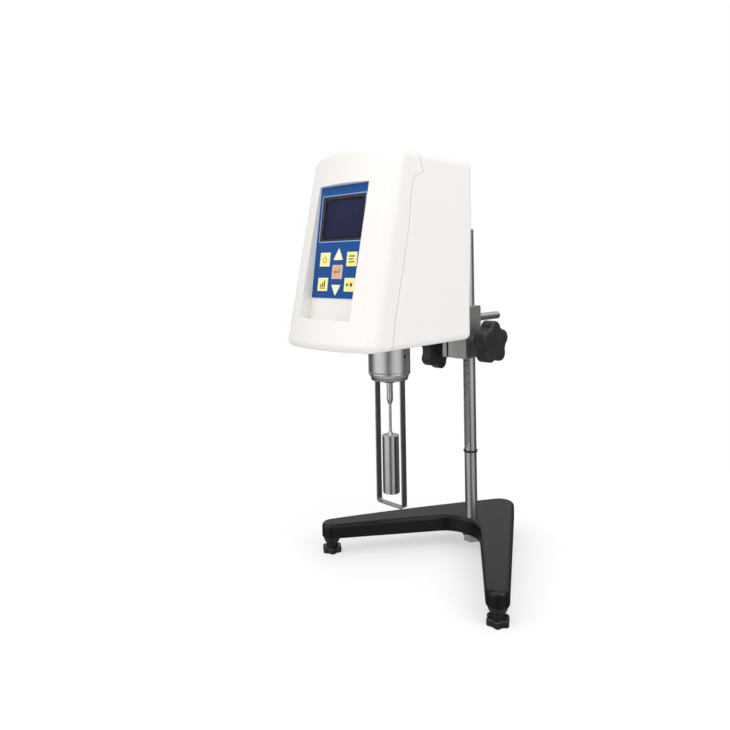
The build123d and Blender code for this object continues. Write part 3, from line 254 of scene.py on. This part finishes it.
def blasted_aluminium():
    m = Mat("blasted_aluminium", (0.52, 0.515, 0.50), 0.5, 1.0)
    grit = m.noise(1900.0, 3.0, 0.65)
    cloud = m.noise(30.0, 4.0, 0.6)
    m.color(m.mix(m.ramp(cloud, 0.3, 0.7, 0.0, 1.0), (0.54, 0.536, 0.522), (0.46, 0.456, 0.446)))
    m.rough(m.math("ADD", m.ramp(cloud, 0.3, 0.7, 0.44, 0.52), m.ramp(grit, 0.3, 0.7, -0.04, 0.06)))
    m.edge(0.0004)
    m.bump(grit, 0.00004, 0.6)
    return m.done()


def fastener_steel():
    m = Mat("zinc_plated", (0.48, 0.48, 0.49), 0.34, 1.0)
    mottled = m.noise(700.0, 4.0, 0.65)
    m.color(m.mix(m.ramp(mottled, 0.3, 0.7, 0.0, 1.0), (0.52, 0.52, 0.525), (0.40, 0.40, 0.415)))
    m.rough(m.ramp(mottled, 0.3, 0.7, 0.26, 0.42))
    m.edge(0.00025)
    m.bump(m.noise(1500.0, 2.0), 0.00002, 0.5)
    return m.done()


def rack_steel():
    m = Mat("rack_cut_steel", (0.50, 0.495, 0.485), 0.6, 1.0)
    oil = m.noise(240.0, 3.0, 0.6)
    m.color(m.mix(m.ramp(oil, 0.3, 0.7, 0.0, 1.0), (0.56, 0.554, 0.542), (0.47, 0.465, 0.455)))
    m.rough(m.ramp(oil, 0.3, 0.7, 0.58, 0.7))
    m.bump(m.noise(1500.0, 2.0), 0.00002, 0.5)
    return m.done()


def black_plastic(name="black_moulded", dark=(0.0105, 0.0115, 0.0135), lift=(0.017, 0.018, 0.020), lo=0.4, hi=0.5):
    m = Mat(name, dark, 0.42, Specular_IOR_Level=0.5)
    grain = m.voronoi(1500.0)
    haze = m.noise(45.0, 4.0, 0.6)
    m.color(m.mix(m.ramp(haze, 0.3, 0.7, 0.0, 1.0), dark, lift))
    m.rough(m.math("ADD", m.ramp(haze, 0.3, 0.7, lo, hi), m.ramp(grain, 0.0, 0.7, -0.03, 0.04)))
    m.edge(0.0005)
    m.bump(grain, 0.00005, 0.4)
    return m.done()


def overlay_blue():
    m = Mat("overlay_film_blue", (0.012, 0.085, 0.31), 0.3, Specular_IOR_Level=0.25)
    z = m.xyz()[2]
    # painted light: the blue film is painted lighter towards the top and darker towards the bottom
    c = m.mix(m.smooth(z, 0.33, 0.44), (0.0022, 0.067, 0.282), (0.0026, 0.08, 0.315))
    m.color(m.mix(m.ramp(m.noise(160.0, 3.0), 0.35, 0.65, 0.0, 0.5), c, (0.002, 0.062, 0.258)))
    fine = m.noise(3000.0, 2.0, 0.6)
    m.rough(m.ramp(fine, 0.3, 0.7, 0.28, 0.38))
    m.bump(fine, 0.000012, 0.5)
    return m.done()


def key_mat(name, inner, outer, box):
    """a keytop: printed field with a slightly paler rim"""
    lo, hi = box
    cx, cz = (lo.x + hi.x) / 2, (lo.z + hi.z) / 2
    wx, wz = (hi.x - lo.x) / 2, (hi.z - lo.z) / 2
    m = Mat(name, inner, 0.34, Specular_IOR_Level=0.45)
    x, _, z = m.xyz()
    ax = m.math("DIVIDE", m.math("ABSOLUTE", m.math("SUBTRACT", x, cx)), wx)
    az = m.math("DIVIDE", m.math("ABSOLUTE", m.math("SUBTRACT", z, cz)), wz)
    rim = m.smooth(m.math("MAXIMUM", ax, az), 0.80, 0.92)
    tone = m.mix(m.ramp(m.noise(220.0, 3.0), 0.35, 0.65, 0.0, 0.35), inner, tuple(c * 0.93 for c in inner))
    m.color(m.mix(rim, tone, outer))
    fine = m.noise(2800.0, 2.0, 0.6)
    m.rough(m.ramp(fine, 0.3, 0.7, 0.3, 0.4))
    m.edge(0.0003)
    m.bump(fine, 0.000012, 0.5)
    return m.done()


def ink(name, color):
    m = Mat(name, color, 0.5)
    m.color(m.mix(m.ramp(m.noise(900.0, 3.0), 0.35, 0.65, 0.0, 1.0), color, tuple(min(1.0, c * 1.5 + 0.004) for c in color)))
    m.rough(m.ramp(m.noise(2400.0, 2.0), 0.3, 0.7, 0.42, 0.55))
    return m.done()


def line_print():
    m = Mat("panel_line_print", (0.30, 0.42, 0.66), 0.35)
    m.color(m.mix(m.ramp(m.noise(500.0, 3.0), 0.35, 0.65, 0.0, 1.0), (0.31, 0.43, 0.67), (0.26, 0.38, 0.62)))
    m.rough(m.ramp(m.noise(2600.0, 2.0), 0.3, 0.7, 0.3, 0.42))
    return m.done()


def lens_mat():
    m = Mat("display_window", (0.72, 0.73, 0.85), 0.02, IOR=1.18, Transmission_Weight=1.0)
    smear = m.noise(1.0, 3.0, 0.5, m.scaled(60.0, 60.0, 140.0))
    m.rough(m.ramp(smear, 0.3, 0.7, 0.0, 0.03))
    m.color(m.mix(m.ramp(smear, 0.3, 0.7, 0.0, 1.0), (0.72, 0.73, 0.85), (0.68, 0.70, 0.82)))
    return m.done()


def lcd_mat():
    """display: navy field inside a black frame"""
    m = Mat("display_module", (0.02, 0.02, 0.07), 0.35, Specular_IOR_Level=0.08)
    x, y, z = m.xyz()
    ax = m.math("ABSOLUTE", m.math("SUBTRACT", x, SX))
    inside = m.math("LESS_THAN", ax, 0.0279)
    # painted light: the navy field is painted lighter in the middle and darker towards its left and right sides
    painted_middle_light = m.mix(m.smooth(ax, 0.0, 0.03, 0.0, 0.35), (0.019, 0.0225, 0.084), (0.0135, 0.016, 0.062))
    # the frame stands 1.9 mm in front of the glass; depth is measured along the panel's normal
    d = m.math("ADD", m.math("MULTIPLY", m.math("SUBTRACT", y, SY - 0.0807), -0.9887),
               m.math("MULTIPLY", m.math("SUBTRACT", z, 0.3202), 0.1498))
    deep = m.math("LESS_THAN", d, -0.0026)
    field = m.math("MULTIPLY", inside, deep)
    m.color(m.mix(field, (0.0075, 0.0085, 0.024), painted_middle_light))
    m.rough(m.ramp(m.noise(1200.0, 2.0), 0.3, 0.7, 0.3, 0.4))
    return m.done()


def board_green():
    m = Mat("solder_mask", (0.02, 0.16, 0.07), 0.3)
    tracks = m.voronoi(260.0, feature="DISTANCE_TO_EDGE")
    m.color(m.mix(m.smooth(tracks, 0.02, 0.06), (0.035, 0.22, 0.10), (0.015, 0.13, 0.055)))
    m.rough(m.ramp(m.noise(400.0, 2.0), 0.3, 0.7, 0.25, 0.4))
    m.bump(tracks, 0.00004, 0.4)
    return m.done()


def bronze():
    m = Mat("sintered_bronze", (0.50, 0.30, 0.12), 0.4, 1.0)
    pores = m.voronoi(1800.0)
    m.color(m.mix(m.smooth(pores, 0.1, 0.4), (0.30, 0.18, 0.07), (0.52, 0.33, 0.14)))
    m.rough(m.ramp(m.noise(300.0, 3.0), 0.3, 0.7, 0.3, 0.5))
    m.bump(pores, 0.00003, 0.4)
    return m.done()


M_SHELL = shell_white()
M_BASE = base_black()
M_POST = post_steel()
M_STEEL = polished_steel()
M_GUARD = guard_steel()
M_TURN = turned_aluminium()
M_BLAST = blasted_aluminium()
M_FAST = fastener_steel()
M_RACK = rack_steel()
M_BLACK = black_plastic()
M_FOOT = black_plastic("foot_black", (0.0055, 0.006, 0.007), (0.010, 0.011, 0.012), 0.26, 0.36)
M_RUBBER = black_plastic("black_rubber", (0.008, 0.008, 0.008), (0.014, 0.014, 0.014), 0.55, 0.7)
M_MOTOR = black_plastic("motor_enamel", (0.012, 0.012, 0.014), (0.03, 0.03, 0.033), 0.35, 0.5)
M_DARK = black_plastic("module_black", (0.006, 0.006, 0.009), (0.012, 0.012, 0.016), 0.35, 0.5)
M_BLUE = overlay_blue()
M_LINE = line_print()
M_LENS = lens_mat()
M_LCD = lcd_mat()
M_BOARD = board_green()
M_BRONZE = bronze()
M_INK = ink("key_mark_dark", (0.06, 0.055, 0.035))
M_INK_RED = ink("key_mark_rust", (0.33, 0.075, 0.035))

by_node = {
    "front_shell": M_SHELL, "rear_shell": M_SHELL, "base_casting": M_BASE, "upright_post": M_POST,
    "post_rack": M_RACK, "post_stop_ring": M_RUBBER, "post_nut": M_FAST,
    "levelling_foot_left": M_FOOT, "levelling_foot_right": M_FOOT, "levelling_foot_rear": M_FOOT,
    "clamp_block": M_BLAST, "pinion_bushes": M_BRONZE, "clamp_bush": M_FAST, "rod_clamp_screw": M_FAST,
    "mounting_rod": M_POST, "rod_flange": M_TURN, "rod_socket": M_BLAST, "keypad_panel": M_BLUE,
    "display_lens": M_LENS, "lcd_module": M_LCD, "keypad_board": M_BOARD, "bottom_plate": M_BLAST,
    "bottom_screws": M_FAST, "chassis": M_BLAST, "drive_motor": M_MOTOR, "motor_screws": M_FAST,
    "optical_sensors": M_DARK, "pivot_housing": M_TURN, "upper_bearing": M_FAST, "main_board": M_BOARD,
    "board_standoffs": M_BRONZE, "power_inlet": M_BLACK, "switch_bezel": M_BLACK, "collar": M_TURN,
    "collar_set_screw": M_DARK, "lower_bearing": M_FAST, "guard_ring": M_TURN, "guard_bush": M_BLACK,
    "guard_leg": M_GUARD, "pinion_shaft": M_FAST, "lift_knob": M_BLACK, "pressure_pad": M_BRONZE,
    "clamp_screw": M_FAST, "clamp_knob": M_BLACK, "motor_shaft": M_FAST, "drive_hub": M_TURN,
    "drive_disc": M_DARK, "torsion_spring": M_BRONZE, "pivot_shaft": M_STEEL, "sensing_disc": M_DARK,
    "coupling_nut": M_STEEL, "spindle": M_STEEL, "power_switch": M_BLACK,
}
YELLOW, PALE = (0.93, 0.86, 0.26), (0.93, 0.93, 0.62)
for k in ("key_top_left", "key_top_right", "key_bottom_left", "key_bottom_right"):
    by_node[k] = key_mat("keytop_" + k, YELLOW, PALE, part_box(k))
by_node["key_centre"] = key_mat("keytop_centre", (0.66, 0.43, 0.24), (0.60, 0.50, 0.52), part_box("key_centre"))
for k in ("key_up", "key_down"):
    by_node[k] = key_mat("keytop_" + k, (0.91, 0.91, 0.60), (0.92, 0.93, 0.74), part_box(k))

for name, o in N.items():
    mat = by_node[name]
    for s in o.material_slots:
        s.material = mat

# ------------------------------------------------------------------ panel coordinates
P0 = Vector((SX, SY - 80.7 * MM, 320.2 * MM))
PN = Vector((0, -0.9887, 0.1498)).normalized()
PU = Vector((1, 0, 0))
PV = PN.cross(PU).normalized()


def on_panel(u, v, w):
    """a point in panel coordinates (mm) to the row frame (m)"""
    return P0 + (PU * u + PV * v + PN * w) * MM


def obj_from_bm(name, bm, mat, body, bevel=0.0):
    bmesh.ops.recalc_face_normals(bm, faces=bm.faces)
    me = bpy.data.meshes.new(name)
    bm.to_mesh(me)
    bm.free()
    o = bpy.data.objects.new(name, me)
    bpy.context.scene.collection.objects.link(o)
    me.materials.append(mat)
    if bevel:
        b = o.modifiers.new("edge", "BEVEL")
        b.width = bevel
        b.segments = 2
        b.limit_method = "ANGLE"
        b.angle_limit = math.radians(35)
    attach(o, body)
    return o


def slab(bm, pts, w0, w1, holes=()):
    """adds a prism on the panel: pts is a closed outline in (u, v) mm, from depth w0 to w1"""
    lo = [bm.verts.new(on_panel(u, v, w0)) for u, v in pts]
    hi = [bm.verts.new(on_panel(u, v, w1)) for u, v in pts]
    n = len(pts)
    for i in range(n):
        bm.faces.new((lo[i], lo[(i + 1) % n], hi[(i + 1) % n], hi[i]))
    bm.faces.new(hi)
    bm.faces.new(list(reversed(lo)))


def ring(bm, outer, inner, w0, w1):
    """adds a closed frame between two outlines with the same number of points"""
    n = len(outer)
    rows = []
    for pts, w in ((outer, w0), (outer, w1), (inner, w1), (inner, w0)):
        rows.append([bm.verts.new(on_panel(u, v, w)) for u, v in pts])
    for a in range(4):
        b = (a + 1) % 4
        for i in range(n):
            j = (i + 1) % n
            bm.faces.new((rows[a][i], rows[a][j], rows[b][j], rows[b][i]))


def rect(u0, v0, u1, v1, r=0.0, seg=4):
    if r <= 0:
        return [(u0, v0), (u1, v0), (u1, v1), (u0, v1)]
    pts = []
    for cu, cv, a0 in ((u1 - r, v0 + r, -90), (u1 - r, v1 - r, 0), (u0 + r, v1 - r, 90), (u0 + r, v0 + r, 180)):
        for i in range(seg + 1):
            a = math.radians(a0 + 90 * i / seg)
            pts.append((cu + r * math.cos(a), cv + r * math.sin(a)))
    return pts


# printed frame line round the display
DU, DV0, DV1 = 32.6, 60.2, 108.6
bm = bmesh.new()
ring(bm, rect(-DU - 1.15, DV0 - 1.15, DU + 1.15, DV1 + 1.15, 1.2), rect(-DU - 0.15, DV0 - 0.15, DU + 0.15, DV1 + 0.15, 0.3), -0.10, 0.03)
obj_from_bm("display_frame_line", bm, M_LINE, "carriage")

# black border of the display window, printed on the back of the lens edge
bm = bmesh.new()
ring(bm, rect(-DU + 0.12, DV0 + 0.12, DU - 0.12, DV1 - 0.12, 0.5), rect(-DU + 2.6, DV0 + 2.2, DU - 2.6, DV1 - 2.2, 0.8), -0.15, -0.09)
obj_from_bm("display_border", bm, M_DARK, "carriage")


# ------------------------------------------------------------------ generic marks on the keys
def arc_band(bm, cu, cv, r, t, a0, a1, w0, w1, seg=20):
    outer = [(cu + (r + t / 2) * math.cos(math.radians(a0 + (a1 - a0) * i / seg)),
              cv + (r + t / 2) * math.sin(math.radians(a0 + (a1 - a0) * i / seg))) for i in range(seg + 1)]
    inner = [(cu + (r - t / 2) * math.cos(math.radians(a0 + (a1 - a0) * i / seg)),
              cv + (r - t / 2) * math.sin(math.radians(a0 + (a1 - a0) * i / seg))) for i in range(seg + 1)]
    for i in range(seg):
        slab(bm, [inner[i], outer[i], outer[i + 1], inner[i + 1]], w0, w1)


def mark(name, body, mat, build):
    bm = bmesh.new()
    build(bm)
    bmesh.ops.remove_doubles(bm, verts=bm.verts, dist=1e-7)
    return obj_from_bm(name, bm, mat, body)


W0, W1 = 0.56, 0.64


def m_power(bm):
    cu, cv = -20.4, 40.4
    arc_band(bm, cu, cv, 2.7, 0.8, 130, 410, W0, W1, 26)
    slab(bm, rect(cu - 0.42, cv + 0.4, cu + 0.42, cv + 4.2), W0, W1)


def m_menu(bm):
    cu, cv = 20.4, 40.7
    for i, (a, b) in enumerate(((-4.4, 4.4), (-4.4, 2.4), (-4.4, 4.4))):
        v = cv + 3.0 - 3.0 * i
        slab(bm, rect(cu + a, v - 0.62, cu + b, v + 0.62, 0.3), W0, W1)


def m_chart(bm):
    cu, cv = -20.6, 14.2
    slab(bm, rect(cu - 4.4, cv - 4.3, cu + 4.4, cv - 3.4), W0, W1)
    for i, h in enumerate((2.6, 4.6, 6.9)):
        u = cu - 3.0 + 3.0 * i
        slab(bm, rect(u - 0.95, cv - 2.6, u + 0.95, cv - 2.6 + h), W0, W1)


def m_run(bm):
    cu, cv = 20.0, 14.3
    slab(bm, [(cu - 4.4, cv - 2.1), (cu - 0.6, cv), (cu - 4.4, cv + 2.1)], W0, W1)
    slab(bm, rect(cu + 1.0, cv - 1.8, cu + 4.4, cv + 1.8), W0, W1)


def m_enter(bm):
    cu, cv = 0.0, 27.5
    slab(bm, rect(cu - 2.4, cv - 0.75, cu + 4.3, cv + 0.6), W0, W1)
    slab(bm, rect(cu + 3.1, cv + 0.6, cu + 4.3, cv + 3.0), W0, W1)
    slab(bm, [(cu - 4.9, cv - 0.08), (cu - 2.2, cv - 2.4), (cu - 2.2, cv + 2.3)], W0, W1)


mark("mark_power", "key_top_left_cap", M_INK, m_power)
mark("mark_menu", "key_top_right_cap", M_INK, m_menu)
mark("mark_chart", "key_bottom_left_cap", M_INK, m_chart)
mark("mark_run_stop", "key_bottom_right_cap", M_INK, m_run)
mark("mark_enter", "key_centre_cap", M_INK_RED, m_enter)

# ------------------------------------------------------------------ camera (the photograph's view)
yaw, pitch, roll = math.radians(44.880), math.radians(1.053), math.radians(-1.015)
fwd = Vector((-math.sin(yaw) * math.cos(pitch), math.cos(yaw) * math.cos(pitch), -math.sin(pitch)))
right = Vector((math.cos(yaw), math.sin(yaw), 0))
up = right.cross(fwd)
r2 = math.cos(roll) * right + math.sin(roll) * up
u2 = -math.sin(roll) * right + math.cos(roll) * up
cam_data = bpy.data.cameras.new("camera")
cam = bpy.data.objects.new("camera", cam_data)
bpy.context.scene.collection.objects.link(cam)
rot = Matrix((r2, u2, -fwd)).transposed().to_4x4()
cam.matrix_world = Matrix.Translation(Vector((0.484087, -0.594225, 0.3557))) @ rot
cam_data.sensor_width = 36.0
cam_data.lens = 656.443 / 730 * 36.0
cam_data.shift_x = (365 - 366.350) / 730
cam_data.shift_y = (275.508 - 365) / 730
cam_data.clip_start = 0.01
bpy.context.scene.camera = cam

# ------------------------------------------------------------------ studio: pale floor, soft light
scene = bpy.context.scene
scene.view_settings.view_transform = "Standard"
scene.view_settings.look = "None"
scene.view_settings.exposure = 0.0

# floor: a large disc, slightly off white
bm = bmesh.new()
rings_r = [0.0, 0.3, 0.6, 1.0, 1.6, 2.6, 4.5, 8.0, 14.0]
seg = 64
prev = None
centre = bm.verts.new((0, 0, 0))
for r in rings_r[1:]:
    row = [bm.verts.new((r * math.cos(2 * math.pi * i / seg), r * math.sin(2 * math.pi * i / seg), 0)) for i in range(seg)]
    for i in range(seg):
        j = (i + 1) % seg
        if prev is None:
            bm.faces.new((centre, row[i], row[j]))
        else:
            bm.faces.new((prev[i], row[i], row[j], prev[j]))
    prev = row
me = bpy.data.meshes.new("floor")
bm.to_mesh(me)
bm.free()
floor = bpy.data.objects.new("floor", me)
scene.collection.objects.link(floor)
fm = Mat("floor_white", (0.93, 0.93, 0.93), 0.7)
x, y, _ = fm.xyz()
rad = fm.math("SQRT", fm.math("ADD", fm.math("MULTIPLY", x, x), fm.math("MULTIPLY", y, y)))
far = fm.smooth(rad, 0.2, 0.85, 0.5, 1.0)
fm.color(fm.mix(fm.ramp(fm.noise(3.0, 2.0), 0.3, 0.7, 0.0, 1.0), (0.93, 0.93, 0.93), (0.915, 0.915, 0.915)))
em = fm.n("ShaderNodeEmission")
em.inputs["Color"].default_value = (1, 1, 1, 1)
em.inputs["Strength"].default_value = 1.0
mixs = fm.n("ShaderNodeMixShader")
fm.link(far, mixs.inputs[0])
fm.link(fm.b.outputs[0], mixs.inputs[1])
fm.link(em.outputs[0], mixs.inputs[2])
fm.link(mixs.outputs[0], fm.out.inputs[0])
me.materials.append(fm.done())
floor.visible_glossy = False

# world: even white behind the object; the light it gives is a soft studio with darker gaps between the panels
w = bpy.data.worlds.new("studio")
scene.world = w
w.use_nodes = True
nt = w.node_tree
nt.nodes.clear()


def wn(kind, **props):
    node = nt.nodes.new(kind)
    for k, v in props.items():
        setattr(node, k, v)
    return node


def wmath(op, a, b=None):
    m = wn("ShaderNodeMath", operation=op)
    for i, v in enumerate((a, b)):
        if v is None:
            continue
        if isinstance(v, (int, float)):
            m.inputs[i].default_value = v
        else:
            nt.links.new(v, m.inputs[i])
    return m.outputs[0]


def wsmooth(v, lo, hi, a, b):
    r = wn("ShaderNodeMapRange", interpolation_type="SMOOTHSTEP")
    for k, val in (("From Min", lo), ("From Max", hi), ("To Min", a), ("To Max", b)):
        r.inputs[k].default_value = val
    nt.links.new(v, r.inputs["Value"])
    return r.outputs[0]


tc = wn("ShaderNodeTexCoord")
sep = wn("ShaderNodeSeparateXYZ")
nt.links.new(tc.outputs["Generated"], sep.inputs[0])


TOP = 0.86
PANELS = ((-104, 4, 52, -0.6, -0.1, 0.95), (-7, 4, 42, -0.6, -0.1, 0.80), (152, 4, 40, -0.5, 0.0, 0.16), (75, 4, 26, -0.5, 0.0, 0.15))
sx_, sy_, sz_ = sep.outputs
flat = wmath("SQRT", wmath("ADD", wmath("MULTIPLY", sx_, sx_), wmath("MULTIPLY", sy_, sy_)))


def panel(azimuth, inner, outer, low, high, value):
    """a tall soft panel: azimuth in degrees from +X, half widths, and how its light fades from below the horizon"""
    c, s_ = math.cos(math.radians(azimuth)), math.sin(math.radians(azimuth))
    d = wmath("DIVIDE", wmath("ADD", wmath("MULTIPLY", sx_, c), wmath("MULTIPLY", sy_, s_)), wmath("MAXIMUM", flat, 0.001))
    across = wsmooth(d, math.cos(math.radians(outer)), math.cos(math.radians(inner)), 0.0, value)
    return wmath("MULTIPLY", across, wsmooth(sz_, low, high, 0.0, 1.0))


env = wsmooth(sz_, -0.05, 0.75, 0.07, TOP)
env = wmath("ADD", env, wsmooth(sz_, -0.95, -0.45, 0.55, 0.0))
for args in PANELS:
    env = wmath("ADD", env, panel(*args))
bg_light = wn("ShaderNodeBackground")
nt.links.new(env, bg_light.inputs["Strength"])
bg_light.inputs["Color"].default_value = (1.0, 0.995, 0.985, 1)
bg_seen = wn("ShaderNodeBackground")
bg_seen.inputs["Color"].default_value = (1, 1, 1, 1)
bg_seen.inputs["Strength"].default_value = 1.0
lp = wn("ShaderNodeLightPath")
ms = wn("ShaderNodeMixShader")
nt.links.new(lp.outputs["Is Camera Ray"], ms.inputs[0])
nt.links.new(bg_light.outputs[0], ms.inputs[1])
nt.links.new(bg_seen.outputs[0], ms.inputs[2])
wo = wn("ShaderNodeOutputWorld")
nt.links.new(ms.outputs[0], wo.inputs[0])


def area(name, loc, target, size, power):
    ld = bpy.data.lights.new(name, "AREA")
    ld.shape = "RECTANGLE"
    ld.size, ld.size_y = size
    ld.energy = power
    lo = bpy.data.objects.new(name, ld)
    scene.collection.objects.link(lo)
    d = Vector(target) - Vector(loc)
    lo.matrix_world = Matrix.Translation(Vector(loc)) @ d.to_track_quat("-Z", "Y").to_matrix().to_4x4()
    return lo


area("key_left", (-0.7, -1.7, 1.7), (0, 0, 0.25), (0.9, 0.9), 0.7)
area("fill_right", (1.8, 0.1, 1.5), (0, 0, 0.25), (0.9, 0.9), 7.0)
area("top_soft", (0.46, -0.56, 1.65), (0, 0, 0.1), (0.42, 0.42), 2.2)
